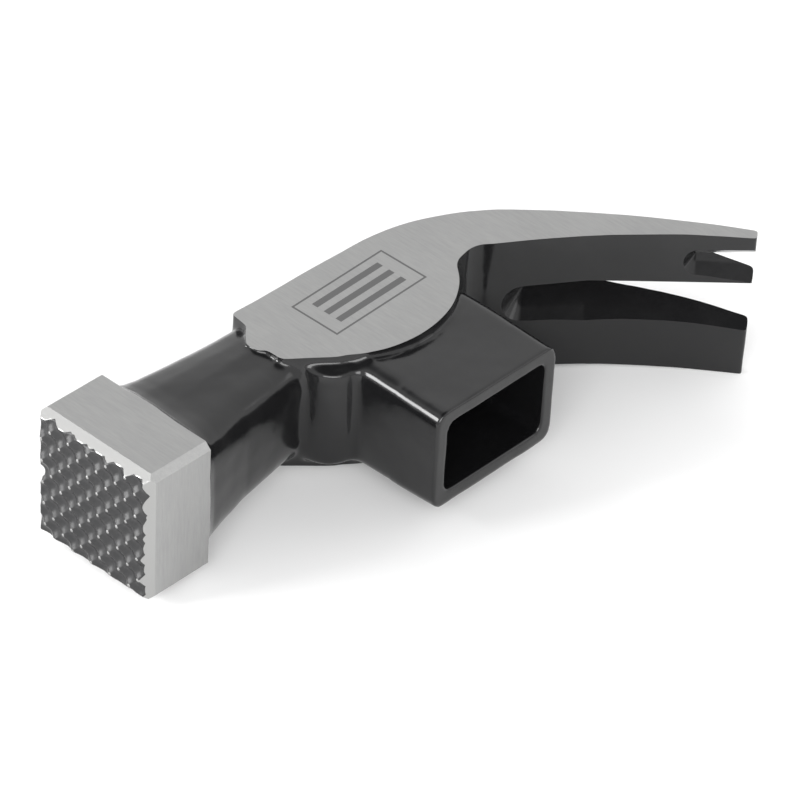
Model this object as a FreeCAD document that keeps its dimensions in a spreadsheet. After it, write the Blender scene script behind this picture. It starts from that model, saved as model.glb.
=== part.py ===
import FreeCAD, Part
import math
import os

import Sketcher

# A bare claw hammer head that lies on its side, in millimetres.
# +X runs from the striking face to the claw, the handle leaves along -Y, and +Z is up through the cheeks.
# Sizes along X are measured from the striking face, along Y and Z from the middle of the block.
# The origin of the finished part is the middle of the socket's mouth, where the handle enters.

SIZES = (
    ("block_length", 13.4),
    ("block_width", 24.0),
    ("block_height", 23.6),
    ("block_chamfer", 1.1),
    ("face_bevel_depth", 2.3),
    ("face_bevel_width", 1.7),
    ("tooth_pitch", 2.8),
    ("tooth_depth", 0.9),
    ("groove_width", 4.0),
    ("groove_stop", 2.2),
    ("magnet_diameter", 3.0),
    ("magnet_length", 3.6),
    ("magnet_clearance", 0.05),
    ("magnet_inset", 2.7),
    ("neck_length", 24.7),
    ("neck_width_step", 0.9),
    ("neck_height_step", 1.0),
    ("neck_corner", 3.1),
    ("waist_width", 15.9),
    ("waist_inset", 4.75),
    ("waist_step", 1.1),
    ("cheek_thickness", 20.7),
    ("claw_width", 26.8),
    ("disc_radius", 19.0),
    ("disc_rise", 4.7),
    ("crown_inset", 1.3),
    ("crown_start_rise", 9.6),
    ("crown_setback", 6.8),
    ("crown_end_rise", 8.3),
    ("crown_radius", 38.8),
    ("throat_inset", 0.9),
    ("throat_rise", 5.9),
    ("throat_drop", 5.6),
    ("throat_reach", 3.1),
    ("throat_radius", 4.3),
    ("belly_setback", 4.65),
    ("belly_drop", 1.24),
    ("claw_root_length", 12.4),
    ("tine_drop", 1.9),
    ("tine_thickness", 10.6),
    ("claw_back_radius", 167.8),
    ("claw_belly_radius", 120.0),
    ("head_length", 111.6),
    ("claw_drop", 34.3),
    ("edge_width", 1.6),
    ("edge_drop", 1.2),
    ("eye_offset", 1.0),
    ("eye_width", 21.8),
    ("eye_height", 13.2),
    ("eye_corner", 1.6),
    ("socket_wall", 2.4),
    ("socket_step", 0.2),
    ("socket_drop", 28.5),
    ("socket_corner", 3.3),
    ("slot_setback", 3.8),
    ("slot_root_width", 3.7),
    ("slot_tip_width", 7.3),
    ("notch_depth", 3.4),
    ("notch_width", 4.1),
    ("notch_apex_rise", 2.4),
    ("notch_margin", 3.1),
)

TOOTH_TURN = 42
RIGHT_ANGLE = 90
STEP_FOLDER = "parts"


class Size:
    """A length with its number and the sheet expression that gives it."""

    def __init__(self, value, text):
        self.value = value
        self.text = text

    def __add__(self, other):
        other = as_size(other)
        return Size(self.value + other.value, f"({self.text} + {other.text})")

    def __sub__(self, other):
        other = as_size(other)
        return Size(self.value - other.value, f"({self.text} - {other.text})")

    def __mul__(self, other):
        other = as_size(other)
        return Size(self.value * other.value, f"({self.text} * {other.text})")

    def __truediv__(self, other):
        other = as_size(other)
        return Size(self.value / other.value, f"({self.text} / {other.text})")

    def __neg__(self):
        return Size(-self.value, f"(0 - {self.text})")

    def root(self):
        return Size(math.sqrt(self.value), f"sqrt({self.text})")


def as_size(number):
    return number if isinstance(number, Size) else Size(number, str(number))


def make_sheet(doc):
    sheet = doc.addObject("Spreadsheet::Sheet", "Sizes")
    for row, (name, value) in enumerate(SIZES, start=1):
        sheet.set(f"A{row}", name)
        sheet.set(f"B{row}", str(value))
        sheet.setAlias(f"B{row}", name)
    doc.recompute()


DOC = FreeCAD.newDocument("hammer_head")
make_sheet(DOC)
S = {name: Size(value, f"Sizes.{name}") for name, value in SIZES}

# Places along X follow one another, so a longer block or neck moves all that is behind it.
MIDDLE = as_size(0)
DISC_LEFT = S["block_length"] + S["neck_length"]
DISC_X = DISC_LEFT + S["disc_radius"]
EYE_X = DISC_X + S["eye_offset"]
THROAT_X = DISC_X + S["disc_radius"] - S["throat_inset"]
TINE_X = THROAT_X + S["claw_root_length"]
SLOT_X = TINE_X - S["slot_setback"]
SOCKET_WIDTH = S["eye_width"] + S["socket_wall"] * 2
SOCKET_MOUTH_HEIGHT = S["eye_height"] + S["socket_wall"] * 2
GROOVE_DEPTH = S["groove_width"] / 2
GROOVE_LENGTH = S["block_length"] - S["groove_stop"]
MAGNET_X = GROOVE_LENGTH - S["magnet_inset"]


def new_body(name):
    """A body whose own zero is the striking face, moved so that the part's zero is the socket's mouth."""
    body = DOC.addObject("PartDesign::Body", name)
    body.Label = name
    body.setExpression("Placement.Base.x", (-EYE_X).text)
    body.setExpression("Placement.Base.y", S["socket_drop"].text)
    return body


def new_sketch(body, name, plane, offset=None, turn=0):
    """A sketch on one of the body's planes, set off along the plane's normal and turned about it."""
    sketch = body.newObject("Sketcher::SketchObject", name)
    support = next(f for f in body.Origin.OriginFeatures if f.Role == plane)
    sketch.AttachmentSupport = [(support, "")]
    sketch.MapMode = "FlatFace"
    rotation = FreeCAD.Rotation(FreeCAD.Vector(1, 0, 0), turn)
    sketch.AttachmentOffset = FreeCAD.Placement(FreeCAD.Vector(), rotation)
    if offset is not None:
        sketch.setExpression("AttachmentOffset.Base.z", offset.text)
    return sketch


def hold(sketch, kind, place, size):
    """Adds one dimension to a sketch and binds it to the sheet."""
    number = sketch.addConstraint(Sketcher.Constraint(kind, *place, size.value))
    sketch.renameConstraint(number, f"size_{number}")
    sketch.setExpression(f"Constraints.size_{number}", size.text)


def arc_between(start, end, radius, side):
    """The short arc from start to end; side 1 bulges to the left of the way along, -1 to the right."""
    chord = end - start
    left = FreeCAD.Vector(-chord.y, chord.x, 0).normalize()
    reach = math.sqrt(max(radius**2 - (chord.Length / 2) ** 2, 0))
    centre = (start + end) / 2 - left * side * reach
    first, last = (end - centre, start - centre) if side == 1 else (start - centre, end - centre)
    circle = Part.Circle(centre, FreeCAD.Vector(0, 0, 1), radius)
    return Part.ArcOfCircle(circle, math.atan2(first.y, first.x), math.atan2(last.y, last.x))


def add_loop(sketch, corners):
    """A closed outline. A corner is (x, y), or (x, y, radius, side) where an arc runs on to the next one."""
    points = [FreeCAD.Vector(c[0].value, c[1].value, 0) for c in corners]
    edges = []
    for index, corner in enumerate(corners):
        start = points[index]
        end = points[(index + 1) % len(points)]
        if len(corner) == 4:
            edge = sketch.addGeometry(arc_between(start, end, corner[2].value, corner[3]))
            edges.append((edge, 2, 1) if corner[3] == 1 else (edge, 1, 2))
        else:
            edges.append((sketch.addGeometry(Part.LineSegment(start, end)), 1, 2))
    for index, (edge, _, last) in enumerate(edges):
        follower, first, _ = edges[(index + 1) % len(edges)]
        sketch.addConstraint(Sketcher.Constraint("Coincident", edge, last, follower, first))
    for corner, (edge, first, _) in zip(corners, edges):
        hold(sketch, "DistanceX", (edge, first), as_size(corner[0]))
        hold(sketch, "DistanceY", (edge, first), as_size(corner[1]))
        if len(corner) == 4:
            hold(sketch, "Radius", (edge,), corner[2])


def add_circle(sketch, x, y, radius):
    circle = Part.Circle(FreeCAD.Vector(x.value, y.value, 0), FreeCAD.Vector(0, 0, 1), radius.value)
    edge = sketch.addGeometry(circle)
    hold(sketch, "Radius", (edge,), radius)
    hold(sketch, "DistanceX", (edge, 3), x)
    hold(sketch, "DistanceY", (edge, 3), y)


def pad(body, name, sketch, length, symmetric=False):
    feature = body.newObject("PartDesign::Pad", name)
    feature.Profile = sketch
    feature.setExpression("Length", length.text)
    feature.Midplane = symmetric
    return feature


def cut(body, name, sketch, depth=None):
    """A pocket right through the body both ways, or to a depth; it has to take material away."""
    DOC.recompute()
    before = body.Shape.Volume
    feature = body.newObject("PartDesign::Pocket", name)
    feature.Profile = sketch
    if depth is None:
        feature.Type = "ThroughAll"
        feature.Midplane = True
    else:
        feature.setExpression("Length", depth.text)
        feature.Reversed = True
    DOC.recompute()
    if body.Shape.Volume >= before:
        raise ValueError(f"{name} takes nothing away")


def chamfered_box(width, height, corner, middle=MIDDLE):
    """The eight corners of a rectangle with its corners cut off, middle up or down the first axis."""
    right = width / 2
    top = height / 2
    return [
        (middle - right + corner, -top),
        (middle + right - corner, -top),
        (middle + right, -top + corner),
        (middle + right, top - corner),
        (middle + right - corner, top),
        (middle - right + corner, top),
        (middle - right, top - corner),
        (middle - right, -top + corner),
    ]


def rounded_box(centre, width, height, corner):
    """A rectangle with round corners; the first axis is shifted to centre."""
    left = centre - width / 2
    right = centre + width / 2
    top = height / 2
    return [
        (left + corner, -top),
        (right - corner, -top, corner, -1),
        (right, -top + corner),
        (right, top - corner, corner, -1),
        (right - corner, top),
        (left + corner, top, corner, -1),
        (left, top - corner),
        (left, -top + corner, corner, -1),
    ]


def cheek_outline():
    """The side view of the cheeks: crown, disc round the eye, and the throat where the claw starts."""
    crown_x = DISC_LEFT + S["crown_inset"]
    throat_left = THROAT_X - S["throat_reach"]
    from_centre = throat_left - DISC_X
    below_centre = (S["disc_radius"] * S["disc_radius"] - from_centre * from_centre).root()
    return [
        (DISC_LEFT, S["disc_rise"]),
        (crown_x, S["crown_start_rise"]),
        (DISC_X + S["crown_setback"], S["crown_end_rise"], S["crown_radius"], 1),
        (THROAT_X, S["throat_rise"]),
        (THROAT_X, -S["throat_drop"], S["throat_radius"], -1),
        (throat_left, S["disc_rise"] - below_centre, S["disc_radius"], 1),
    ]


def neck_seat_outline():
    """What the neck is cut back to: the disc's round edge, the crown above and the socket's side below."""
    crown_x = DISC_LEFT + S["crown_inset"]
    above = S["block_width"]
    right = DISC_X + S["disc_radius"]
    tube_left = EYE_X - SOCKET_WIDTH / 2
    from_centre = tube_left - DISC_X
    below_centre = (S["disc_radius"] * S["disc_radius"] - from_centre * from_centre).root()
    return [
        (tube_left, S["disc_rise"] - below_centre, S["disc_radius"], 1),
        (DISC_LEFT, S["disc_rise"]),
        (crown_x, S["crown_start_rise"]),
        (crown_x, above),
        (right, above),
        (right, -above),
        (tube_left, -above),
    ]


def grind_sides(body, from_x):
    """Both sides are ground flat, and they spread evenly from the neck to the claw's tip."""
    start = S["cheek_thickness"] / 2
    end = S["claw_width"] / 2
    reach = S["head_length"] + S["claw_width"]
    slope = (end - start) / (S["head_length"] - DISC_LEFT)
    far = start + slope * (reach - DISC_LEFT)
    near = start + slope * (from_x - DISC_LEFT)
    stock = S["claw_width"] * 2
    for name, side in (("upper", 1), ("lower", -1)):
        sketch = new_sketch(body, f"{name}_side_line", "XZ_Plane")
        add_loop(
            sketch,
            [
                (from_x, near * side),
                (reach, far * side),
                (reach, stock * side),
                (from_x, stock * side),
            ],
        )
        cut(body, f"{name}_ground_side", sketch)


def cut_eye(body):
    """The rectangular eye runs right through, from the socket's mouth to the crown."""
    sketch = new_sketch(body, "eye_line", "XZ_Plane")
    add_loop(sketch, rounded_box(EYE_X, S["eye_width"], S["eye_height"], S["eye_corner"]))
    cut(body, "eye", sketch)


def slot_side(side):
    """One side of the slot: its distance from the middle at the round end and past the tip."""
    reach = S["head_length"] + S["claw_width"]
    root = S["slot_root_width"] / 2
    tip = S["slot_tip_width"] / 2
    slope = (tip - root) / (S["head_length"] - SLOT_X)
    return (root * side, (root + slope * (reach - SLOT_X)) * side, reach)


def cut_teeth(body, name, turn):
    """Saw-tooth grooves across the face; two sets at right angles leave rows of pyramids."""
    sketch = new_sketch(body, f"{name}_line", "XY_Plane", turn=turn)
    pitch = S["tooth_pitch"]
    count = int(S["block_width"].value * math.sqrt(2) / pitch.value) + 2
    front = -S["block_length"]
    first = -pitch * (count / 2)
    corners = [(front, first), (MIDDLE, first)]
    for number in range(count):
        corners.append((S["tooth_depth"], first + pitch * (number + 0.5)))
        corners.append((MIDDLE, first + pitch * (number + 1)))
    corners.append((front, first + pitch * count))
    add_loop(sketch, corners)
    cut(body, name, sketch)


def make_striking_poll():
    body = new_body("striking_poll")
    sketch = new_sketch(body, "block_line", "YZ_Plane")
    add_loop(sketch, chamfered_box(S["block_width"], S["block_height"], S["block_chamfer"]))
    block = pad(body, "block", sketch, S["block_length"])
    DOC.recompute()
    front = min(range(len(block.Shape.Faces)), key=lambda i: block.Shape.Faces[i].CenterOfMass.x)
    bevel = body.newObject("PartDesign::Chamfer", "front_bevel")
    bevel.Base = (block, [f"Face{front + 1}"])
    bevel.ChamferType = "Two distances"
    bevel.setExpression("Size", S["face_bevel_depth"].text)
    bevel.setExpression("Size2", S["face_bevel_width"].text)
    cut_teeth(body, "rising_grooves", TOOTH_TURN)
    cut_teeth(body, "falling_grooves", TOOTH_TURN - RIGHT_ANGLE)
    groove = new_sketch(body, "groove_line", "YZ_Plane")
    add_circle(groove, S["block_width"] / 2, MIDDLE, GROOVE_DEPTH)
    cut(body, "nail_groove", groove, GROOVE_LENGTH)
    hole = new_sketch(body, "magnet_line", "XZ_Plane", offset=-(S["block_width"] / 2))
    add_circle(hole, MAGNET_X, MIDDLE, S["magnet_diameter"] / 2 + S["magnet_clearance"])
    cut(body, "magnet_hole", hole, GROOVE_DEPTH + S["magnet_length"])


def make_nail_magnet():
    """A round magnet pushed into the groove's floor, which holds a nail by its shank."""
    body = new_body("nail_magnet")
    top = S["block_width"] / 2 - GROOVE_DEPTH
    sketch = new_sketch(body, "magnet_round", "XZ_Plane", offset=-(top - S["magnet_length"]))
    add_circle(sketch, MAGNET_X, MIDDLE, S["magnet_diameter"] / 2)
    rod = pad(body, "rod", sketch, S["magnet_length"])
    rod.Reversed = True


def make_neck():
    """The neck narrows from the block to the cheeks and ends on the disc's round side."""
    body = new_body("neck")
    root = new_sketch(body, "root_line", "YZ_Plane", offset=S["block_length"])
    root_width = S["block_width"] - S["neck_width_step"] * 2
    root_height = S["block_height"] - S["neck_height_step"] * 2
    add_loop(root, chamfered_box(root_width, root_height, S["neck_corner"]))
    waist = new_sketch(body, "waist_line", "YZ_Plane", offset=DISC_LEFT + S["waist_inset"])
    waist_y = S["crown_start_rise"] - S["waist_width"] / 2
    waist_height = S["cheek_thickness"] - S["waist_step"] * 2
    add_loop(waist, chamfered_box(S["waist_width"], waist_height, S["neck_corner"], waist_y))
    loft = body.newObject("PartDesign::AdditiveLoft", "taper")
    loft.Profile = root
    loft.Sections = [waist]
    loft.Ruled = True
    seat = new_sketch(body, "seat_line", "XY_Plane")
    add_loop(seat, neck_seat_outline())
    cut(body, "cheek_seat", seat)


def make_cheek_block():
    body = new_body("cheek_block")
    sketch = new_sketch(body, "cheek_line", "XY_Plane")
    add_loop(sketch, cheek_outline())
    pad(body, "cheeks", sketch, S["claw_width"] * 2, symmetric=True)
    grind_sides(body, DISC_LEFT - S["block_length"])
    cut_eye(body)


def make_handle_socket():
    """A tube with parallel ends and tapered sides, that leaves the disc's lower edge."""
    body = new_body("handle_socket")
    sketch = new_sketch(body, "tube_line", "YZ_Plane", offset=EYE_X)
    root = S["cheek_thickness"] / 2 - S["socket_step"]
    mouth = SOCKET_MOUTH_HEIGHT / 2
    add_loop(
        sketch,
        [
            (-S["socket_drop"], -mouth),
            (S["disc_rise"], -root),
            (S["disc_rise"], root),
            (-S["socket_drop"], mouth),
        ],
    )
    tube = pad(body, "tube", sketch, SOCKET_WIDTH, symmetric=True)
    DOC.recompute()
    along = []
    for number, edge in enumerate(tube.Shape.Edges, start=1):
        way = edge.tangentAt(edge.FirstParameter)
        if abs(way.y) > abs(way.x) + abs(way.z):
            along.append(f"Edge{number}")
    corners = body.newObject("PartDesign::Fillet", "tube_corners")
    corners.Base = (tube, along)
    corners.setExpression("Radius", S["socket_corner"].text)
    seat = new_sketch(body, "seat_line", "XY_Plane")
    add_loop(seat, cheek_outline())
    cut(body, "cheek_seat", seat)
    cut_eye(body)


def make_claw_root():
    """The solid start of the claw, from the throat to where the slot has fully opened."""
    body = new_body("claw_root")
    sketch = new_sketch(body, "root_line", "XY_Plane")
    belly = (THROAT_X + S["belly_setback"], -(S["throat_drop"] + S["belly_drop"]))
    add_loop(
        sketch,
        [
            (THROAT_X, -S["throat_drop"]),
            (THROAT_X, S["throat_rise"], S["crown_radius"], 1),
            (TINE_X, -S["tine_drop"]),
            (TINE_X, -(S["tine_drop"] + S["tine_thickness"]), S["claw_belly_radius"], -1),
            (*belly, S["throat_radius"], -1),
        ],
    )
    pad(body, "root", sketch, S["claw_width"] * 2, symmetric=True)
    grind_sides(body, DISC_LEFT)
    slot = new_sketch(body, "slot_line", "XZ_Plane")
    near, far, reach = slot_side(1)
    add_loop(
        slot,
        [
            (SLOT_X, -near, near, 1),
            (SLOT_X - near, MIDDLE, near, 1),
            (SLOT_X, near),
            (reach, far),
            (reach, -far),
        ],
    )
    cut(body, "slot_end", slot)


def make_tine(name, side):
    """One half of the claw; side 1 is the upper one, -1 the lower one."""
    body = new_body(name)
    sketch = new_sketch(body, "tine_line", "XY_Plane")
    tip_x = S["head_length"]
    tip_y = -S["claw_drop"]
    add_loop(
        sketch,
        [
            (TINE_X, -(S["tine_drop"] + S["tine_thickness"])),
            (TINE_X, -S["tine_drop"], S["claw_back_radius"], 1),
            (tip_x, tip_y),
            (tip_x - S["edge_width"], tip_y - S["edge_drop"], S["claw_belly_radius"], -1),
        ],
    )
    pad(body, "tine", sketch, S["claw_width"] * 2, symmetric=True)
    grind_sides(body, DISC_LEFT)
    slot = new_sketch(body, "slot_line", "XZ_Plane")
    near, far, reach = slot_side(side)
    other_side = -(S["claw_width"] * side)
    add_loop(
        slot,
        [
            (SLOT_X, near),
            (reach, far),
            (reach, other_side),
            (SLOT_X, other_side),
        ],
    )
    cut(body, "slot_face", slot)
    return body


def make_upper_claw():
    """The upper half has a second, smaller notch in its edge for thin nails."""
    body = make_tine("upper_claw", 1)
    sketch = new_sketch(body, "notch_line", "XZ_Plane")
    tip_x = S["head_length"]
    high = S["claw_width"] / 2 - S["notch_margin"]
    low = high - S["notch_width"]
    past = tip_x + S["notch_depth"]
    add_loop(
        sketch,
        [
            (tip_x - S["notch_depth"], low + S["notch_apex_rise"]),
            (tip_x, high),
            (past, high),
            (past, low),
            (tip_x, low),
        ],
    )
    cut(body, "thin_nail_notch", sketch)


def check_document():
    DOC.recompute()
    for thing in DOC.Objects:
        if "Invalid" in thing.State or "Error" in thing.State:
            raise ValueError(f"{thing.Label} failed: {thing.State}")


def write_steps():
    os.makedirs(STEP_FOLDER, exist_ok=True)
    bodies = [thing for thing in DOC.Objects if thing.TypeId == "PartDesign::Body"]
    for body in bodies:
        if body.Shape.isNull() or not body.Shape.isValid():
            raise ValueError(f"{body.Label} has no valid shape")
    for body in bodies:
        body.Shape.exportStep(os.path.join(STEP_FOLDER, f"{body.Label}.step"))
        print(body.Label, round(body.Shape.Volume), "mm3")
    print("total", round(sum(body.Shape.Volume for body in bodies)), "mm3")


make_striking_poll()
make_nail_magnet()
make_neck()
make_cheek_block()
make_handle_socket()
make_claw_root()
make_upper_claw()
make_tine("lower_claw", -1)
check_document()
write_steps()
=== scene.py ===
import math

import bmesh
import bpy
from mathutils import Matrix, Vector, noise


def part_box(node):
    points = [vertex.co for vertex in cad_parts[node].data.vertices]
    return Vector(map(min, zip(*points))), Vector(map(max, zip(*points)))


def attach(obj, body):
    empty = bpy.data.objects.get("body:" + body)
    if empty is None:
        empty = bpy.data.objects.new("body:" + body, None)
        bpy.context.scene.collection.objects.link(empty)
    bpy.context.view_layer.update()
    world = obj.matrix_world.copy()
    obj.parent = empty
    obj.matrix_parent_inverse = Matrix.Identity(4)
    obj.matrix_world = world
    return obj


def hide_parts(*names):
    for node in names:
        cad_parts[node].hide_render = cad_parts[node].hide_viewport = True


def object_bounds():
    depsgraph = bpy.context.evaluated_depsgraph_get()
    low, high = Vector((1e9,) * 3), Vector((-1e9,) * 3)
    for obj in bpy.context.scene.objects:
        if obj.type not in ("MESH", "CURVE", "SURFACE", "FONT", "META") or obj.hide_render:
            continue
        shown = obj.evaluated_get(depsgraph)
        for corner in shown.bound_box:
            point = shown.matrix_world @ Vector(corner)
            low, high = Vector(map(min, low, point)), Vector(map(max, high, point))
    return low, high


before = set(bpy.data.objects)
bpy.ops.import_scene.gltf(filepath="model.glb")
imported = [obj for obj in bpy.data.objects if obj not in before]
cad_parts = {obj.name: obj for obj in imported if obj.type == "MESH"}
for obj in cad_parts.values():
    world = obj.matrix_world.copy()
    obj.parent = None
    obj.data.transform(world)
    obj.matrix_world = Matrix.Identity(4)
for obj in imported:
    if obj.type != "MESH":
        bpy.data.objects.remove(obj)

# A bare claw hammer head that lies on its side. +X runs from the striking face to the claw, the handle
# leaves along -Y, and +Z is up through the cheeks. The head is one forging, dipped in black lacquer, with
# its cheeks, the claw's sides and the striking block ground bare afterwards.
# Pieces are shaped in millimetres, and become metres when they are finished.

CAD_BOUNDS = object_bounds()
MM = 0.001


def node_box(name):
    """A CAD node's lowest and highest corners, in millimetres."""
    low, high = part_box(name)
    return low / MM, high / MM


BLOCK_LOW, BLOCK_HIGH = node_box("striking_poll")
CHEEK_LOW, CHEEK_HIGH = node_box("cheek_block")
SOCKET_LOW, SOCKET_HIGH = node_box("handle_socket")
ROOT_LOW, ROOT_HIGH = node_box("claw_root")
CLAW_LOW, CLAW_HIGH = node_box("upper_claw")
MAGNET_LOW, MAGNET_HIGH = node_box("nail_magnet")
BLOCK_MIDDLE = (BLOCK_LOW + BLOCK_HIGH) / 2

# The striking block.
BLOCK_CHAMFER = 1.1
BEVEL_DEPTH = 2.3
BEVEL_WIDTH = 1.7
FACE_CROWN = 0.35
TOOTH_DEPTH = 0.95
TOOTH_PITCH = 2.8
TOOTH_TURN = math.radians(42)
TOOTH_SHIFT = (1.25, -1.26)
GROOVE_WIDTH = 4.0
GROOVE_STOP = 2.2
TIP_WEAR = 0.18
PAINTED_SHARE = 0.55
VALLEY_ROUNDNESS = 1.3

# The magnet.
MAGNET_CLEARANCE = 0.05
MAGNET_DISH = 0.08
MAGNET_BREAK = 0.15

# The side view of the cheeks and the claw.
DISC_RADIUS = 19.0
DISC_RISE = 4.7
CROWN_INSET = 1.3
CROWN_START_RISE = 9.6
CROWN_END = (6.8, 8.3)
CROWN_RADIUS = 38.8
THROAT_RISE = 5.9
THROAT_DROP = 5.6
THROAT_REACH = 3.1
THROAT_RADIUS = 4.3
BELLY_SETBACK = 4.65
BELLY_DROP = 1.24
TINE_DROP = 1.9
TINE_THICKNESS = 10.6
CLAW_BACK_RADIUS = 167.8
CLAW_BELLY_RADIUS = 120.0
EDGE_WIDTH = 1.6

# The eye, its socket, the slot and the notch.
SOCKET_WALL = 2.4
SOCKET_ROOT_STEP = 0.2
EYE_HEIGHT = 13.2
EYE_CORNER = 1.6
SOCKET_CORNER = 2.2
# A groove's line runs along its deepest points. Its slope is half its width for each millimetre of its depth,
# and the cutter's wide end lies outside the belly, this far from the frame's middle.
SLOT_LINE = ((30.2, 21.5), (38.6, 15.8), (80.0, -25.4))
SLOT_SLOPE = 0.69
SLOT_OUTSIDE = 30.1
NOTCH_LINE = ((48.3, 1.8), (80.0, -29.9))
NOTCH_SLOPE = 0.87
NOTCH_OUTSIDE = 31.0
NOTCH_Z = 7.85

MIDDLE_Y = BLOCK_MIDDLE.y
DISC_X = CHEEK_LOW.x + DISC_RADIUS
DISC_Y = MIDDLE_Y + DISC_RISE
GRIND_SLOPE = (CLAW_HIGH.z - CHEEK_HIGH.z) / (CLAW_HIGH.x - CHEEK_HIGH.x)
GRIND_TILT = math.atan(GRIND_SLOPE)

# The neck: from the block's back, a distance, the lower and upper edge from the middle line, half the height,
# and half the height at the ridge.
NECK_RINGS = (
    (-2.0, -12.6, 12.6, 12.5, 12.6),
    (0.0, -12.2, 12.2, 11.9, 12.2),
    (0.9, -11.3, 11.3, 11.2, 11.5),
    (2.4, -10.6, 10.7, 10.8, 11.0),
    (5.0, -9.9, 10.4, 10.4, 10.75),
    (12.0, -8.1, 10.0, 9.9, 10.45),
    (19.0, -7.0, 9.8, 9.45, 10.2),
    (24.0, -6.4, 9.7, 9.3, 10.1),
    (30.0, -6.3, 9.6, 9.2, 9.9),
)
NECK_SQUARENESS = 0.42
NECK_POINTS = 64
RIDGE_Y = 2.4
RIDGE_SPREAD = 2.6

# The web in the corner between neck and socket.
WEB_REACH = 5.5
WEB_RISE = 6.4
WEB_HALF_HEIGHT = 8.9
WEB_INTO_SOCKET = 3.0
WEB_INTO_NECK = 4.0

# The corner of the cheeks over the neck, from the cheeks' low x and the middle line: a straight side, then
# the end of the ridge.
CHEEK_CORNER = (
    (5.7, -9.4), (-1.2, -3.4), (-1.2, -0.4), (-2.2, 0.5), (-2.3, 2.9), (-1.0, 4.4), (0.8, 6.0)
)
CHEEK_THICKNESS = 20.7
EDGE_DROP = 1.2
TIP_Y = CLAW_LOW.y + EDGE_DROP
GRINDING_STOCK = 3.0

# How the forging is fused and softened, and where each softening and each ground flat begins or ends.
FUSE_DEPTH = 8
FUSE_SCALE = 0.99
ROUNDS_ALL = 3
ROUNDS_CLAW = 3
ROUNDS_JUNCTION = 5
ROUNDS_WEB = 16
CLAW_START = 22.0
GRIND_START = -24.0
BLOCK_BLEND = -40.0
JUNCTION_X = (-24, 22)
JUNCTION_Y = (8, 41)
JUNCTION_Z = 6
WEB_X = (-25, -10.5)
WEB_Y = (9, 26)
# The length and the height of the swells on the forged skin.
SLOW_WANDER = (9.0, 0.14)
QUICK_WANDER = (3.2, 0.035)
QUICK_SHIFT = Vector((7, 3, 5))

# The etched mark, in the middle of the upper cheek. It is on what lies above MARK_ABOVE.
MARK_PLACE = (-1.2, 28.0)
MARK_SIZE = (19.6, 9.4)
MARK_LINE = 0.35
MARK_BAR = (14.5, 1.2)
MARK_BAR_PITCH = 2.5
MARK_ABOVE = 5.0

# Camera and light, in metres. A look's direction has a height from 0, level, to 1, straight up, and the
# ceiling goes from the wall's light to its own between the two heights of CEILING_EDGE.
CAMERA_LENS = 200.9
CAMERA_ANGLES = (-48.81, 37.91, 3.31)
CAMERA_PLACE = (-0.40994, -0.33923, 0.41850)
CAMERA_REACH = 20
FLOOR_SIZE = 3
WALL_LIGHT = 1.1
CEILING_LIGHT = 0.12
CEILING_EDGE = (0.8, 0.93)
SOFT_BOXES = (
    # name, place, size and power
    ("front_box", (-0.9, -0.85, 0.75), (1.2, 0.7), 15),
    ("left_box", (-0.77, 0.5, 0.42), (0.35, 0.35), 6),
    ("right_box", (0.61, -0.62, 0.5), (0.3, 0.3), 0.3),
    ("back_box", (0.0, 0.85, 0.53), (0.14, 0.14), 1.4),
)

# How finely curves are drawn, and how near to a plane a point is when it counts as on it.
ARC_STEP = 0.8
CORNER_STEPS = 6
ROUND_SIDES = 48
MAGNET_SIDES = 64
GROOVE_SIDES = 240
FACE_CELLS = 200
CUT_REACH = 0.0001
JOINT_REACH = 0.001
SEAM_REACH = 0.01

# The order of the materials on the forging, and on the striking block.
LACQUER, GROUND = range(2)
ACROSS, UPRIGHT, MILLED, DIPPED = range(4)
FINISHES = {
    "neck": "black_lacquer",
    "handle_socket": "black_lacquer",
    "cheek_block": "ground_steel",
    "claw_root": "black_lacquer",
    "upper_claw": "black_lacquer",
    "lower_claw": "black_lacquer",
}


# ---------------------------------------------------------------- shaping helpers


def piece_from(name, bm):
    """A new object that holds this bmesh."""
    mesh = bpy.data.meshes.new(name)
    bm.to_mesh(mesh)
    bm.free()
    piece = bpy.data.objects.new(name, mesh)
    bpy.context.scene.collection.objects.link(piece)
    return piece


def settle(piece):
    """Makes what the modifiers give the piece's own mesh."""
    bpy.context.view_layer.update()
    graph = bpy.context.evaluated_depsgraph_get()
    piece.data = bpy.data.meshes.new_from_object(piece.evaluated_get(graph))
    piece.modifiers.clear()


def combine(piece, tool, operation):
    """Adds a tool to a piece or cuts it away, and throws the tool away."""
    change = piece.modifiers.new(operation.lower(), "BOOLEAN")
    change.operation = operation
    change.object = tool
    change.solver = "EXACT"
    change.material_mode = "INDEX"
    settle(piece)
    bpy.data.objects.remove(tool)


def arc(start, end, radius, side):
    """Points on the short arc from start up to end, bulging to the left for side 1, right for -1."""
    start = Vector(start)
    end = Vector(end)
    chord = end - start
    left = Vector((-chord.y, chord.x)).normalized()
    centre = (start + end) / 2 - left * side * math.sqrt(max(radius**2 - (chord.length / 2) ** 2, 0))
    turn = -side * 2 * math.asin(min(chord.length / 2 / radius, 1))
    steps = max(3, round(abs(turn) * radius / ARC_STEP))
    return [centre + Matrix.Rotation(turn * n / steps, 2) @ (start - centre) for n in range(steps)]


def rounded_box(middle, half_width, half_height, corner):
    """The points of a rectangle with round corners, anticlockwise from the lower right."""
    points = []
    for quarter, (right, top) in enumerate(((1, -1), (1, 1), (-1, 1), (-1, -1))):
        centre = Vector((middle[0] + right * (half_width - corner), middle[1] + top * (half_height - corner)))
        for n in range(CORNER_STEPS + 1):
            angle = math.radians(90) * (quarter - 1 + n / CORNER_STEPS)
            points.append(centre + corner * Vector((math.cos(angle), math.sin(angle))))
    return points


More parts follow.
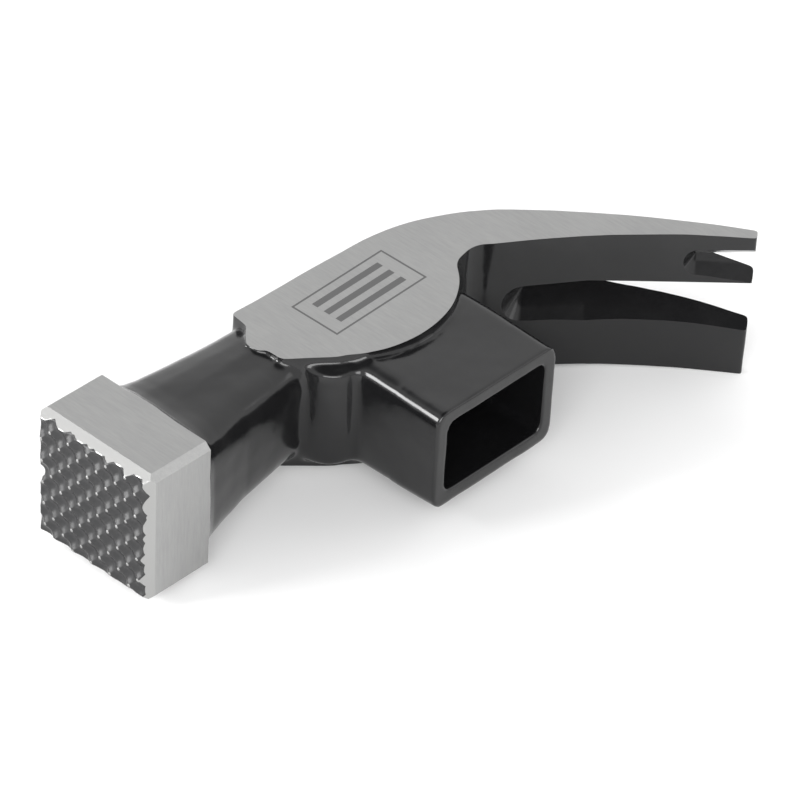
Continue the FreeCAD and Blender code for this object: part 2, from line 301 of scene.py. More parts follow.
def draw_out(points, way):
    """A closed solid: a flat outline drawn out along way."""
    bm = bmesh.new()
    face = bm.faces.new([bm.verts.new(point) for point in points])
    drawn = bmesh.ops.extrude_face_region(bm, geom=[face])
    moved = [part for part in drawn["geom"] if isinstance(part, bmesh.types.BMVert)]
    bmesh.ops.translate(bm, verts=moved, vec=way)
    bmesh.ops.recalc_face_normals(bm, faces=bm.faces)
    return bm


def loft(rings):
    """A closed solid through rings that have the same number of points."""
    bm = bmesh.new()
    loops = []
    for ring in rings:
        verts = [bm.verts.new(point) for point in ring]
        loops.append([bm.edges.new((verts[n - 1], verts[n])) for n in range(len(verts))])
    for first, second in zip(loops, loops[1:]):
        bmesh.ops.bridge_loops(bm, edges=first + second)
    for end in (loops[0], loops[-1]):
        bmesh.ops.contextual_create(bm, geom=end)
    bmesh.ops.recalc_face_normals(bm, faces=bm.faces)
    return bm


def slice_faces(bm, inside, place, outwards, clear=False):
    """Cuts the faces that inside picks with a plane. Clear takes off what is past it. Gives the new edges."""
    faces = [face for face in bm.faces if inside(face.calc_center_median())]
    edges = list(dict.fromkeys(edge for face in faces for edge in face.edges))
    verts = list(dict.fromkeys(vert for face in faces for vert in face.verts))
    cut = bmesh.ops.bisect_plane(
        bm, geom=verts + edges + faces, dist=CUT_REACH, plane_co=place, plane_no=outwards, clear_outer=clear
    )
    return [part for part in cut["geom_cut"] if isinstance(part, bmesh.types.BMEdge)]


def fill_open(bm, edges, outwards, material):
    """Closes the loops that these edges make with flat faces that look outwards, with sharp borders."""
    filled = bmesh.ops.triangle_fill(bm, edges=edges, use_beauty=False, normal=outwards)
    for face in [part for part in filled["geom"] if isinstance(part, bmesh.types.BMFace)]:
        face.material_index = material
        face.smooth = False
        if face.normal.dot(outwards) < 0:
            face.normal_flip()
    for edge in edges:
        edge.smooth = False


def grind(bm, place, outwards, inside):
    """Takes off what stands out past a plane, where inside says, and leaves a flat of bare steel."""
    fill_open(bm, slice_faces(bm, inside, place, outwards, clear=True), outwards, GROUND)


def finish_piece(piece, slot, *nodes):
    """Turns a piece to metres and puts it in the place of its CAD nodes."""
    piece.data.transform(Matrix.Scale(MM, 4))
    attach(piece, "root")
    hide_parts(*nodes)


# ---------------------------------------------------------------- materials


def to_linear(colour):
    """An sRGB hex colour as linear red, green, blue and alpha."""
    levels = [int(colour[n : n + 2], 16) / 255 for n in (1, 3, 5)]
    return (*[c / 12.92 if c <= 0.04045 else ((c + 0.055) / 1.055) ** 2.4 for c in levels], 1)


def add_node(tree, kind, inputs, **settings):
    """Adds a node. An input is a plain value or the socket that feeds it."""
    node = tree.nodes.new(kind)
    for name, value in settings.items():
        setattr(node, name, value)
    for name, value in inputs.items():
        if isinstance(value, bpy.types.NodeSocket):
            tree.links.new(value, node.inputs[name])
        else:
            node.inputs[name].default_value = value
    return node


def new_material(name, values):
    """A material with its shader's own values set."""
    material = bpy.data.materials.new(name)
    material.use_nodes = True
    shader = material.node_tree.nodes["Principled BSDF"]
    for socket, value in values.items():
        shader.inputs[socket].default_value = value
    return material, material.node_tree, shader


def make_black_lacquer():
    """Thick stoved lacquer over an as-forged skin: deep gloss, with slow swells and a fine orange peel."""
    material, tree, shader = new_material("black_lacquer", {"IOR": 1.5})
    place = add_node(tree, "ShaderNodeTexCoord", {}).outputs["Object"]
    swell = add_node(tree, "ShaderNodeTexNoise", {"Vector": place, "Scale": 1 / (5 * MM), "Detail": 2.0})
    peel = add_node(tree, "ShaderNodeTexNoise", {"Vector": place, "Scale": 1 / (0.9 * MM), "Detail": 3.0})
    patch = add_node(
        tree, "ShaderNodeMapRange",
        {"Value": swell.outputs[0], "From Min": 0.35, "From Max": 0.7, "To Min": 0.11, "To Max": 0.21},
    )
    tree.links.new(patch.outputs[0], shader.inputs["Roughness"])
    black = add_node(
        tree, "ShaderNodeMix", {0: peel.outputs[0], 6: to_linear("#0C0C0D"), 7: to_linear("#151516")},
        data_type="RGBA",
    )
    tree.links.new(black.outputs[2], shader.inputs["Base Color"])
    low = add_node(
        tree, "ShaderNodeBump", {"Height": swell.outputs[0], "Strength": 0.35, "Distance": 0.12 * MM}
    )
    high = add_node(
        tree, "ShaderNodeBump",
        {"Height": peel.outputs[0], "Strength": 0.25, "Distance": 0.012 * MM, "Normal": low.outputs[0]},
    )
    tree.links.new(high.outputs[0], shader.inputs["Normal"])
    return material


def make_mark(tree, place):
    """Where a plain etched mark lies on the upper cheek: a frame with three bars in it, and no lettering."""
    apart = add_node(tree, "ShaderNodeSeparateXYZ", {"Vector": place})
    shapes = [(MARK_SIZE, (0, 0), MARK_LINE)] + [(MARK_BAR, (0, n * MARK_BAR_PITCH), 0) for n in (-1, 0, 1)]
    upper = add_node(
        tree, "ShaderNodeMath", {0: apart.outputs[2], 1: MARK_ABOVE * MM}, operation="GREATER_THAN"
    ).outputs[0]
    mark = None
    for size, centre, line in shapes:
        outside = []
        for axis in (0, 1):
            away = add_node(
                tree, "ShaderNodeMath", {0: apart.outputs[axis], 1: (MARK_PLACE[axis] + centre[axis]) * MM},
                operation="SUBTRACT",
            )
            far = add_node(tree, "ShaderNodeMath", {0: away.outputs[0]}, operation="ABSOLUTE")
            past = add_node(
                tree, "ShaderNodeMath", {0: far.outputs[0], 1: size[axis] / 2 * MM}, operation="SUBTRACT"
            )
            outside.append(past.outputs[0])
        edge = add_node(
            tree, "ShaderNodeMath", {0: outside[0], 1: outside[1]}, operation="MAXIMUM"
        ).outputs[0]
        if line:
            edge = add_node(tree, "ShaderNodeMath", {0: edge}, operation="ABSOLUTE").outputs[0]
        shape = add_node(
            tree, "ShaderNodeMath", {0: edge, 1: line / 2 * MM}, operation="LESS_THAN"
        ).outputs[0]
        if mark:
            shape = add_node(tree, "ShaderNodeMath", {0: mark, 1: shape}, operation="MAXIMUM").outputs[0]
        mark = shape
    return add_node(tree, "ShaderNodeMath", {0: mark, 1: upper}, operation="MULTIPLY").outputs[0]


def make_ground_steel(name, along, marked=False):
    """Carbon steel off a belt grinder: a satin grey with fine straight scratches that run along one axis."""
    material, tree, shader = new_material(name, {"Metallic": 1.0})
    place = add_node(tree, "ShaderNodeTexCoord", {}).outputs["Object"]
    shades = []
    # Real grit lines are about 0.05 mm apart, too fine to show, so they are drawn wider.
    for line, reach in ((0.13, 1.8), (0.4, 5.0)):
        scale = Vector((1, 1, 1)) / (line * MM)
        scale[along] = 1 / (reach * MM)
        turned = add_node(tree, "ShaderNodeMapping", {"Vector": place, "Scale": scale})
        lines = add_node(
            tree, "ShaderNodeTexNoise", {"Vector": turned.outputs[0], "Scale": 1.0, "Detail": 3.0}
        )
        shades.append(lines.outputs[0])
    both = add_node(tree, "ShaderNodeMath", {0: shades[0], 1: shades[1]}, operation="ADD")
    grey = add_node(tree, "ShaderNodeMapRange", {"Value": both.outputs[0], "From Min": 0.7, "From Max": 1.3})
    cloud = add_node(tree, "ShaderNodeTexNoise", {"Vector": place, "Scale": 1 / (9 * MM), "Detail": 2.0})
    rough = add_node(
        tree, "ShaderNodeMapRange",
        {"Value": cloud.outputs[0], "From Min": 0.3, "From Max": 0.7, "To Min": 0.31, "To Max": 0.4},
    ).outputs[0]
    steel = add_node(
        tree, "ShaderNodeMix", {0: grey.outputs[0], 6: to_linear("#A0A0A0"), 7: to_linear("#A9A9A8")},
        data_type="RGBA",
    ).outputs[2]
    if marked:
        mark = make_mark(tree, place)
        steel = add_node(
            tree, "ShaderNodeMix", {0: mark, 6: steel, 7: to_linear("#747474")}, data_type="RGBA"
        ).outputs[2]
        rough = add_node(tree, "ShaderNodeMix", {0: mark, 2: rough, 3: 0.55}, data_type="FLOAT").outputs[0]
    tree.links.new(steel, shader.inputs["Base Color"])
    tree.links.new(rough, shader.inputs["Roughness"])
    bump = add_node(
        tree, "ShaderNodeBump", {"Height": both.outputs[0], "Strength": 0.25, "Distance": 0.01 * MM}
    )
    tree.links.new(bump.outputs[0], shader.inputs["Normal"])
    return material


def make_milled_face():
    """Black paint over milled teeth, rubbed through to bright steel on the tips and ground off the bevel."""
    material, tree, shader = new_material("painted_milled_steel", {"Roughness": 0.36})
    place = add_node(tree, "ShaderNodeTexCoord", {}).outputs["Object"]
    ragged = add_node(tree, "ShaderNodeTexNoise", {"Vector": place, "Scale": 1 / (0.5 * MM), "Detail": 2.0})
    paint = add_node(tree, "ShaderNodeAttribute", {}, attribute_name="paint_depth").outputs["Fac"]
    shifted = add_node(
        tree, "ShaderNodeMath", {0: ragged.outputs[0], 1: 0.12, 2: paint}, operation="MULTIPLY_ADD"
    )
    painted = add_node(
        tree, "ShaderNodeMapRange", {"Value": shifted.outputs[0], "From Min": 0.05, "From Max": 0.08}
    )
    bare = add_node(tree, "ShaderNodeMath", {0: 1.0, 1: painted.outputs[0]}, operation="SUBTRACT")
    black = add_node(
        tree, "ShaderNodeMix", {0: ragged.outputs[0], 6: to_linear("#1C1C1D"), 7: to_linear("#2C2C2D")},
        data_type="RGBA",
    )
    surface = add_node(
        tree, "ShaderNodeMix", {0: bare.outputs[0], 6: black.outputs[2], 7: to_linear("#A6A6A5")},
        data_type="RGBA",
    )
    tree.links.new(surface.outputs[2], shader.inputs["Base Color"])
    tree.links.new(bare.outputs[0], shader.inputs["Metallic"])
    bump = add_node(
        tree, "ShaderNodeBump", {"Height": ragged.outputs[0], "Strength": 0.3, "Distance": 0.03 * MM}
    )
    tree.links.new(bump.outputs[0], shader.inputs["Normal"])
    return material


def make_nickel_plate():
    """Bright nickel plate on the magnet: a warm grey mirror, faintly cloudy."""
    nickel = to_linear("#C9C5BC")
    material, tree, shader = new_material("nickel_plate", {"Metallic": 1.0, "Base Color": nickel})
    place = add_node(tree, "ShaderNodeTexCoord", {}).outputs["Object"]
    cloud = add_node(tree, "ShaderNodeTexNoise", {"Vector": place, "Scale": 1 / (0.6 * MM), "Detail": 3.0})
    rough = add_node(
        tree, "ShaderNodeMapRange",
        {"Value": cloud.outputs[0], "From Min": 0.3, "From Max": 0.7, "To Min": 0.12, "To Max": 0.26},
    )
    tree.links.new(rough.outputs[0], shader.inputs["Roughness"])
    return material


# ---------------------------------------------------------------- striking block


def from_tips(across):
    """How far a place is from a row of tips: 0 on the row, 1 in the middle of the groove beside it."""
    return abs((across / TOOTH_PITCH + 0.5) % 1 - 0.5) * 2


def face_cuts(y, z):
    """What the face's crown, its milled grooves, the same grooves under paint, and its bevel take off."""
    half_y = (BLOCK_HIGH.y - BLOCK_LOW.y) / 2
    half_z = BLOCK_HIGH.z
    u = from_tips(y * math.cos(TOOTH_TURN) + z * math.sin(TOOTH_TURN) - TOOTH_SHIFT[0])
    v = from_tips(y * math.sin(TOOTH_TURN) - z * math.cos(TOOTH_TURN) - TOOTH_SHIFT[1])
    crown = FACE_CROWN * ((y / half_y) ** 2 + (z / half_z) ** 2) / 2
    milled = TOOTH_DEPTH * math.hypot(u, v)
    rounded = sum(math.sin(w * math.radians(90)) ** VALLEY_ROUNDNESS for w in (u, v))
    painted = TOOTH_DEPTH * PAINTED_SHARE * rounded
    from_edge = min(half_y - abs(y), half_z - abs(z))
    return crown, milled, painted, max(0, 1 - from_edge / BEVEL_WIDTH) * BEVEL_DEPTH


def make_striking_block(*materials):
    """A square block with ground sides; a fine grid makes its front, with the teeth in it."""
    half_y = (BLOCK_HIGH.y - BLOCK_LOW.y) / 2
    half_z = BLOCK_HIGH.z
    bm = bmesh.new()
    bmesh.ops.create_grid(bm, x_segments=FACE_CELLS, y_segments=FACE_CELLS, size=half_y)
    bmesh.ops.scale(bm, verts=bm.verts, vec=(1, half_z / half_y, 1))
    for side_y in (1, -1):
        for side_z in (1, -1):
            corner = Vector((side_y * (half_y - BLOCK_CHAMFER), side_z * half_z, 0))
            slice_faces(bm, lambda point: True, corner, (side_y, side_z, 0), clear=True)
    paint = bm.verts.layers.float.new("paint_depth")
    for vert in bm.verts:
        y, z, _ = vert.co
        crown, milled, painted, bevel = face_cuts(y, z)
        vert[paint] = min(crown + milled - bevel, milled - TIP_WEAR)
        vert.co = (BLOCK_LOW.x + max(crown + painted, bevel), MIDDLE_Y + y, z)
    for face in bm.faces:
        face.smooth = True
        face.material_index = MILLED
    rim = [edge for edge in bm.edges if edge.is_boundary]
    for edge in rim:
        edge.smooth = False
    drawn = bmesh.ops.extrude_edge_only(bm, edges=rim)
    back = [part for part in drawn["geom"] if isinstance(part, bmesh.types.BMVert)]
    for vert in back:
        vert.co.x = BLOCK_HIGH.x
    bmesh.ops.edgeloop_fill(bm, edges=[edge for edge in bm.edges if edge.is_boundary])
    bmesh.ops.recalc_face_normals(bm, faces=bm.faces)
    bm.normal_update()
    for face in bm.faces:
        if abs(face.normal.x) < 0.01:
            face.material_index = UPRIGHT if abs(face.normal.y) > 0.8 else ACROSS
            face.smooth = False
    block = piece_from("striking_poll", bm)
    for material in materials:
        block.data.materials.append(material)
    cut_nail_starter(block)
    finish_piece(block, "ground_steel", "striking_poll")


def cut_nail_starter(block):
    """Cuts the round groove that a nail lies in, and the pocket under it that holds the magnet."""
    groove_length = BLOCK_HIGH.x - GROOVE_STOP - BLOCK_LOW.x
    radius = GROOVE_WIDTH / 2
    groove = bmesh.new()
    bmesh.ops.create_cone(
        groove, cap_ends=True, segments=ROUND_SIDES, radius1=radius, radius2=radius, depth=groove_length * 2,
        matrix=Matrix.Translation((BLOCK_LOW.x, BLOCK_HIGH.y, 0)) @ Matrix.Rotation(math.radians(90), 4, "Y"),
    )
    pocket = bmesh.new()
    middle = (MAGNET_LOW + MAGNET_HIGH) / 2
    hole = (MAGNET_HIGH.x - MAGNET_LOW.x) / 2 + MAGNET_CLEARANCE
    depth = BLOCK_HIGH.y - MAGNET_LOW.y
    bmesh.ops.create_cone(
        pocket, cap_ends=True, segments=ROUND_SIDES, radius1=hole, radius2=hole, depth=depth * 2,
        matrix=Matrix.Translation((middle.x, BLOCK_HIGH.y, 0)) @ Matrix.Rotation(math.radians(90), 4, "X"),
    )
    for tool in (groove, pocket):
        for face in tool.faces:
            face.material_index = DIPPED
            face.smooth = len(face.verts) == 4
        combine(block, piece_from("tool", tool), "DIFFERENCE")


def make_magnet(nickel):
    """A round bar magnet with broken rims and a shallow dish in its outer end."""
    middle = (MAGNET_LOW + MAGNET_HIGH) / 2
    radius = (MAGNET_HIGH.x - MAGNET_LOW.x) / 2
    length = MAGNET_HIGH.y - MAGNET_LOW.y
    bm = bmesh.new()
    bmesh.ops.create_cone(
        bm, cap_ends=True, segments=MAGNET_SIDES, radius1=radius, radius2=radius, depth=length,
        matrix=Matrix.Translation(middle) @ Matrix.Rotation(math.radians(-90), 4, "X"),
    )
    outer = max(bm.faces, key=lambda face: face.calc_center_median().y)
    bmesh.ops.inset_region(bm, faces=[outer], thickness=radius / 4, depth=0)
    bmesh.ops.translate(bm, verts=outer.verts, vec=(0, -MAGNET_DISH, 0))
    rims = [edge for edge in bm.edges if edge.calc_face_angle(0) > math.radians(60)]
    bmesh.ops.bevel(bm, geom=rims, offset=MAGNET_BREAK, segments=3, profile=0.5, affect="EDGES", material=-1)
    for face in bm.faces:
        face.smooth = len(face.verts) == 4
    magnet = piece_from("nail_magnet", bm)
    magnet.data.materials.append(nickel)
    finish_piece(magnet, "plated_magnet", "nail_magnet")


# ---------------------------------------------------------------- forging


def claw_line():
    """The claw's back and belly in side view, from the crown to the tip and back to the throat."""
    throat_left = ROOT_LOW.x - THROAT_REACH
    belly = (ROOT_LOW.x + BELLY_SETBACK, MIDDLE_Y - THROAT_DROP - BELLY_DROP)
    tine_back = (ROOT_HIGH.x, MIDDLE_Y - TINE_DROP)
    tine_belly = (ROOT_HIGH.x, MIDDLE_Y - TINE_DROP - TINE_THICKNESS)
    below = math.sqrt(DISC_RADIUS**2 - (throat_left - DISC_X) ** 2)
    throat_start = (throat_left, DISC_Y - below)
    corner_x = CHEEK_LOW.x + CHEEK_CORNER[0][0]
    disc_corner = (corner_x, DISC_Y - math.sqrt(DISC_RADIUS**2 - (corner_x - DISC_X) ** 2))
    crown_end = (DISC_X + CROWN_END[0], MIDDLE_Y + CROWN_END[1])
    return {
        "crown": arc(crown_end, (ROOT_LOW.x, MIDDLE_Y + THROAT_RISE), CROWN_RADIUS, 1)
        + arc((ROOT_LOW.x, MIDDLE_Y + THROAT_RISE), tine_back, CROWN_RADIUS, 1),
        "back": arc(tine_back, (CLAW_HIGH.x, TIP_Y), CLAW_BACK_RADIUS, 1) + [Vector((CLAW_HIGH.x, TIP_Y))],
        "belly": arc((CLAW_HIGH.x - EDGE_WIDTH, CLAW_LOW.y), tine_belly, CLAW_BELLY_RADIUS, -1)
        + arc(tine_belly, belly, CLAW_BELLY_RADIUS, -1),
        "throat": arc(belly, (ROOT_LOW.x, MIDDLE_Y - THROAT_DROP), THROAT_RADIUS, -1)
        + arc((ROOT_LOW.x, MIDDLE_Y - THROAT_DROP), throat_start, THROAT_RADIUS, -1),
        "disc": arc(throat_start, (DISC_X, DISC_Y - DISC_RADIUS), DISC_RADIUS, 1)
        + arc((DISC_X, DISC_Y - DISC_RADIUS), disc_corner, DISC_RADIUS, 1),
    }


def make_plate():
    """Cheeks and claw as one thick plate, with stock left on both sides for the grinder."""
    line = claw_line()
    crown_start = Vector((CHEEK_LOW.x + CROWN_INSET, MIDDLE_Y + CROWN_START_RISE))
    corner = [Vector((CHEEK_LOW.x + x, MIDDLE_Y + y)) for x, y in CHEEK_CORNER]
    outline = [crown_start]
    for part in ("crown", "back", "belly", "throat", "disc"):
        outline += line[part]
    outline += corner
    low = -CLAW_HIGH.z - GRINDING_STOCK
    return draw_out([(p.x, p.y, low) for p in outline], (0, 0, -2 * low))


def make_neck_stock():
    """The neck: squarish with round corners, and a faint forged ridge along its upper and lower sides."""
    rings = []
    for distance, low, high, half_height, ridge in NECK_RINGS:
        middle = (low + high) / 2
        half = (high - low) / 2
        ring = []
        for n in range(NECK_POINTS):
            angle = 2 * math.pi * n / NECK_POINTS
            c = math.cos(angle)
            s = math.sin(angle)
            y = middle + half * math.copysign(abs(c) ** NECK_SQUARENESS, c)
            z = half_height * math.copysign(abs(s) ** NECK_SQUARENESS, s)
            swell = math.exp(-(((y - RIDGE_Y) / RIDGE_SPREAD) ** 2))
            z *= 1 + (ridge / half_height - 1) * swell
            ring.append((BLOCK_HIGH.x + distance, MIDDLE_Y + y, z))
        rings.append(ring)
    return loft(rings)


def make_tube_stock():
    """The handle socket: a tube with round corners that tapers towards its mouth."""
    half_width = SOCKET_HIGH.x
    root = CHEEK_THICKNESS / 2 - SOCKET_ROOT_STEP
    mouth = EYE_HEIGHT / 2 + SOCKET_WALL
    rings = []
    for y, half_height in ((0, mouth), (DISC_Y, root)):
        section = rounded_box((0, 0), half_width, half_height, SOCKET_CORNER)
        rings.append([(x, y, z) for x, z in section])
    return loft(rings)


def make_gusset():
    """The web in the corner between the neck and the socket, hollow on its open side."""
    x = SOCKET_LOW.x
    y = MIDDLE_Y - WEB_RISE
    outline = [(p.x, p.y) for p in arc((x - WEB_REACH, y), (x, y - WEB_REACH), WEB_REACH, -1)]
    outline += [
        (x, y - WEB_REACH),
        (x + WEB_INTO_SOCKET, y - WEB_REACH),
        (x + WEB_INTO_SOCKET, y + WEB_INTO_NECK),
        (x - WEB_REACH, y + WEB_INTO_NECK),
    ]
    return draw_out([(*place, -WEB_HALF_HEIGHT) for place in outline], (0, 0, 2 * WEB_HALF_HEIGHT))


def make_groove_tools(line, z, slope, outside):
    """V-shaped cutters, with a round start, along a line of deepest points, open towards the claw's belly."""
    out = Vector((-1, -1, 0)).normalized()
    along = Vector((1, -1, 0)).normalized()
    tools = []
    for stretch in zip(line, line[1:]):
        bm = bmesh.new()
        for place in stretch:
            tip = Vector((*place, z))
            reach = -tip.dot(out) - outside
            bm.verts.new(tip)
            for n in range(GROOVE_SIDES):
                angle = 2 * math.pi * n / GROOVE_SIDES
                spread = along * math.cos(angle) + Vector((0, 0, 1)) * math.sin(angle)
                bm.verts.new(tip + reach * (out + spread * slope))
        hull = bmesh.ops.convex_hull(bm, input=bm.verts)
        inner = [part for part in hull["geom_interior"] if isinstance(part, bmesh.types.BMVert)]
        bmesh.ops.delete(bm, geom=list(dict.fromkeys(inner)), context="VERTS")
        bmesh.ops.recalc_face_normals(bm, faces=bm.faces)
        tools.append(bm)
    return tools


def make_claw_grooves():
    """The nail slot and the small notch for thin nails."""
    slot = make_groove_tools(SLOT_LINE, 0, SLOT_SLOPE, SLOT_OUTSIDE)
    return slot + make_groove_tools(NOTCH_LINE, NOTCH_Z, NOTCH_SLOPE, NOTCH_OUTSIDE)


def smooth_where(bm, rounds, chosen):
    """Softens the surface where chosen says, as a forging die and thick lacquer do."""
    verts = [vert for vert in bm.verts if chosen(vert.co)]
    for _ in range(rounds):
        bmesh.ops.smooth_vert(bm, verts=verts, factor=0.5, use_axis_x=True, use_axis_y=True, use_axis_z=True)


def in_junction(point):
    """Where neck, cheeks and socket run into each other below the ground flats."""
    along = JUNCTION_X[0] < point.x < JUNCTION_X[1]
    return along and JUNCTION_Y[0] < point.y < JUNCTION_Y[1] and abs(point.z) > JUNCTION_Z


def near_gusset(point):
    """Where the web fills the corner between neck and socket."""
    return WEB_X[0] < point.x < WEB_X[1] and WEB_Y[0] < point.y < WEB_Y[1]


def at_block(point):
    """Where the neck runs into the striking block."""
    return point.x < BLOCK_BLEND


def wander(point, normal):
    """How far the surface of a forging wanders from true, in slow swells with shallower ones on them."""
    slow = noise.noise(point / SLOW_WANDER[0])
    quick = noise.noise(point / QUICK_WANDER[0] + QUICK_SHIFT)
    return normal * (SLOW_WANDER[1] * slow + QUICK_WANDER[1] * quick)


def make_forging():
    """The whole forging in one mesh, ground flat where it is bare."""
    forging = piece_from("forging", make_plate())
    for tool in (make_neck_stock(), make_tube_stock(), make_gusset()):
        combine(forging, piece_from("tool", tool), "UNION")
    eye = rounded_box((0, 0), SOCKET_HIGH.x - SOCKET_WALL, EYE_HEIGHT / 2, EYE_CORNER)
    hole = draw_out(
        [(p.x, SOCKET_LOW.y - GRINDING_STOCK, p.y) for p in eye], (0, CHEEK_HIGH.y + 2 * GRINDING_STOCK, 0)
    )
    combine(forging, piece_from("tool", hole), "DIFFERENCE")
    fuse = forging.modifiers.new("fuse", "REMESH")
    fuse.mode = "SHARP"
    fuse.octree_depth = FUSE_DEPTH
    fuse.scale = FUSE_SCALE
    settle(forging)
    bm = bmesh.new()
    bm.from_mesh(forging.data)
    smooth_where(bm, ROUNDS_ALL, lambda point: True)
    smooth_where(bm, ROUNDS_CLAW, lambda point: point.x > CLAW_START)
    smooth_where(bm, ROUNDS_JUNCTION, in_junction)
    smooth_where(bm, ROUNDS_WEB, near_gusset)
    bm.normal_update()
    moves = [wander(vert.co, vert.normal) for vert in bm.verts]
    for vert, move in zip(bm.verts, moves):
        vert.co += move
    for face in bm.faces:
        face.smooth = True
    bm.to_mesh(forging.data)
    bm.clear()
    for tool in make_claw_grooves():
        combine(forging, piece_from("tool", tool), "DIFFERENCE")
    bm.from_mesh(forging.data)
    for edge in bm.edges:
        edge.smooth = len({face.smooth for face in edge.link_faces}) == 1
    half_y = BLOCK_HIGH.y - MIDDLE_Y
    for side in (1, -1):
        outwards = Vector((-math.sin(GRIND_TILT), 0, side * math.cos(GRIND_TILT)))
        grind(bm, (CHEEK_HIGH.x, 0, side * CHEEK_HIGH.z), outwards, lambda point: point.x > GRIND_START)
        grind(bm, (0, 0, side * BLOCK_HIGH.z), Vector((0, 0, side)), at_block)
        grind(bm, (0, MIDDLE_Y + side * half_y, 0), Vector((0, side, 0)), at_block)
    grind(bm, (BLOCK_HIGH.x, 0, 0), Vector((-1, 0, 0)), at_block)
    bm.to_mesh(forging.data)
    bm.free()
    return forging


def list_seams():
    """The planes where the regions of the forging meet: a place, the way across, and where the seam runs."""
    return (
        (Vector((CHEEK_LOW.x, 0, 0)), Vector((1, 0, 0)), lambda point: True),
        (Vector((ROOT_LOW.x, 0, 0)), Vector((1, 0, 0)), lambda point: True),
        (Vector((ROOT_HIGH.x, 0, 0)), Vector((1, 0, 0)), lambda point: True),
        (Vector((0, CHEEK_LOW.y, 0)), Vector((0, 1, 0)), lambda point: CHEEK_LOW.x < point.x < ROOT_LOW.x),
        (Vector((0, 0, 0)), Vector((0, 0, 1)), lambda point: point.x > ROOT_HIGH.x),
    )


def region_of(point):
    """The name of the region of the forging that a point lies in."""
    if point.x < CHEEK_LOW.x:
        return "neck"
    if point.x < ROOT_LOW.x:
        return "handle_socket" if point.y < CHEEK_LOW.y else "cheek_block"
    if point.x < ROOT_HIGH.x:
        return "claw_root"
    return "upper_claw" if point.z > 0 else "lower_claw"


def close_seams(bm, seams):
    """Closes a region where the seams left it open."""
    middle = sum((vert.co for vert in bm.verts), Vector()) / len(bm.verts)
    # Behind the slot's end the two tines are still one, so their two seams meet in an edge there.
    corners = [
        vert for vert in bm.verts
        if abs(vert.co.x - ROOT_HIGH.x) < JOINT_REACH and abs(vert.co.z) < JOINT_REACH
    ]
    if len(corners) == 2 and middle.x > ROOT_HIGH.x:
        bm.edges.new(corners)
    for place, across, _ in seams:
        rim = [
            edge for edge in bm.edges
            if len(edge.link_faces) < 2
            and all(abs((vert.co - place).dot(across)) < SEAM_REACH for vert in edge.verts)
        ]
        if rim:
            fill_open(bm, rim, across if (place - middle).dot(across) > 0 else -across, LACQUER)


def split_forging(forging, materials):
    """Cuts the forging at the seams between its regions, with the shading across each seam kept."""
    seams = list_seams()
    bm = bmesh.new()
    bm.from_mesh(forging.data)
    for place, across, inside in seams:
        slice_faces(bm, inside, place, across)
    bm.to_mesh(forging.data)
    bm.free()
    mesh = forging.data
    shading = mesh.attributes.new("shading", "FLOAT_VECTOR", "CORNER")
    for corner, normal in zip(shading.data, mesh.corner_normals):
        corner.vector = normal.vector
    for name, finish in FINISHES.items():
        bm = bmesh.new()
        bm.from_mesh(mesh)
        others = [face for face in bm.faces if region_of(face.calc_center_median()) != name]
        bmesh.ops.delete(bm, geom=others, context="FACES")
        close_seams(bm, seams)
        piece = piece_from(name, bm)
        for material in materials:
            piece.data.materials.append(material)
        kept = [tuple(corner.vector) for corner in piece.data.attributes["shading"].data]
        piece.data.attributes.remove(piece.data.attributes["shading"])
        piece.data.normals_split_custom_set(kept)
        finish_piece(piece, finish, name)
    bpy.data.objects.remove(forging)


# ---------------------------------------------------------------- stage


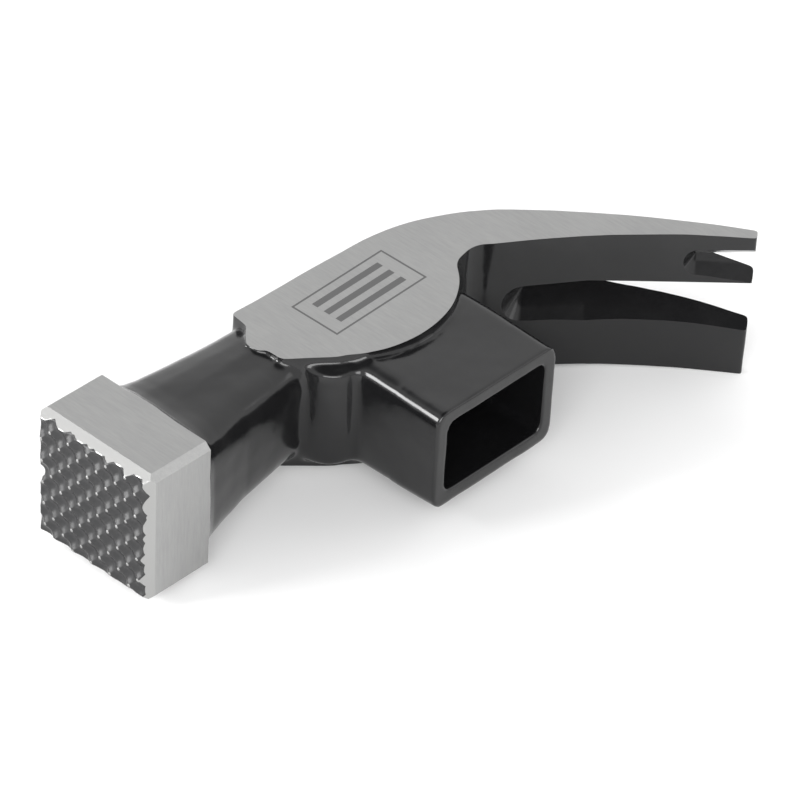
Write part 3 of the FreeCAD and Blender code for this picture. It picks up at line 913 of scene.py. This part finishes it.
def place_camera():
    """A long lens above the striking face's near corner, a little rolled."""
    camera = bpy.data.cameras.new("camera")
    camera.lens = CAMERA_LENS
    camera.clip_end = CAMERA_REACH
    holder = bpy.data.objects.new("camera", camera)
    bpy.context.scene.collection.objects.link(holder)
    azimuth, elevation, roll = (math.radians(angle) for angle in CAMERA_ANGLES)
    turn = Matrix.Rotation(azimuth, 4, "Z") @ Matrix.Rotation(math.radians(90) - elevation, 4, "X")
    holder.matrix_world = Matrix.Translation(CAMERA_PLACE) @ turn @ Matrix.Rotation(roll, 4, "Z")
    bpy.context.scene.camera = holder


def add_soft_box(name, place, size, power):
    """A soft box that looks at the middle of the head."""
    light = bpy.data.lights.new(name, "AREA")
    light.shape = "RECTANGLE"
    light.size, light.size_y = size
    light.energy = power
    holder = bpy.data.objects.new(name, light)
    bpy.context.scene.collection.objects.link(holder)
    holder.location = place
    holder.rotation_euler = (-Vector(place)).to_track_quat("-Z", "Y").to_euler()


def make_stage():
    """A pale floor under the head, a white wall all round with a dark ceiling and four soft boxes."""
    low, _ = CAD_BOUNDS
    bm = bmesh.new()
    bmesh.ops.create_grid(
        bm, x_segments=1, y_segments=1, size=FLOOR_SIZE, matrix=Matrix.Translation((0, 0, low[2]))
    )
    floor = piece_from("floor", bm)
    material, _, shader = new_material(
        "pale_floor", {"Base Color": to_linear("#F6F6F6"), "Roughness": 0.9, "Specular IOR Level": 0.0}
    )
    floor.data.materials.append(material)
    world = bpy.data.worlds.new("surround")
    world.use_nodes = True
    tree = world.node_tree
    way = add_node(tree, "ShaderNodeTexCoord", {}).outputs["Generated"]
    height = add_node(tree, "ShaderNodeSeparateXYZ", {"Vector": way}).outputs[2]
    wall = add_node(
        tree, "ShaderNodeMapRange",
        {
            "Value": height,
            "From Min": CEILING_EDGE[0],
            "From Max": CEILING_EDGE[1],
            "To Min": WALL_LIGHT,
            "To Max": CEILING_LIGHT,
        },
    )
    tree.links.new(wall.outputs[0], tree.nodes["Background"].inputs["Strength"])
    tree.nodes["Background"].inputs["Color"].default_value = (1, 1, 1, 1)
    bpy.context.scene.world = world
    bpy.context.scene.view_settings.view_transform = "Standard"
    for box in SOFT_BOXES:
        add_soft_box(*box)


place_camera()
make_stage()
lacquer = make_black_lacquer()
make_striking_block(
    make_ground_steel("ground_carbon_steel_across", 1),
    make_ground_steel("ground_carbon_steel_upright", 2),
    make_milled_face(),
    lacquer,
)
make_magnet(make_nickel_plate())
split_forging(make_forging(), (lacquer, make_ground_steel("ground_carbon_steel_marked", 1, marked=True)))
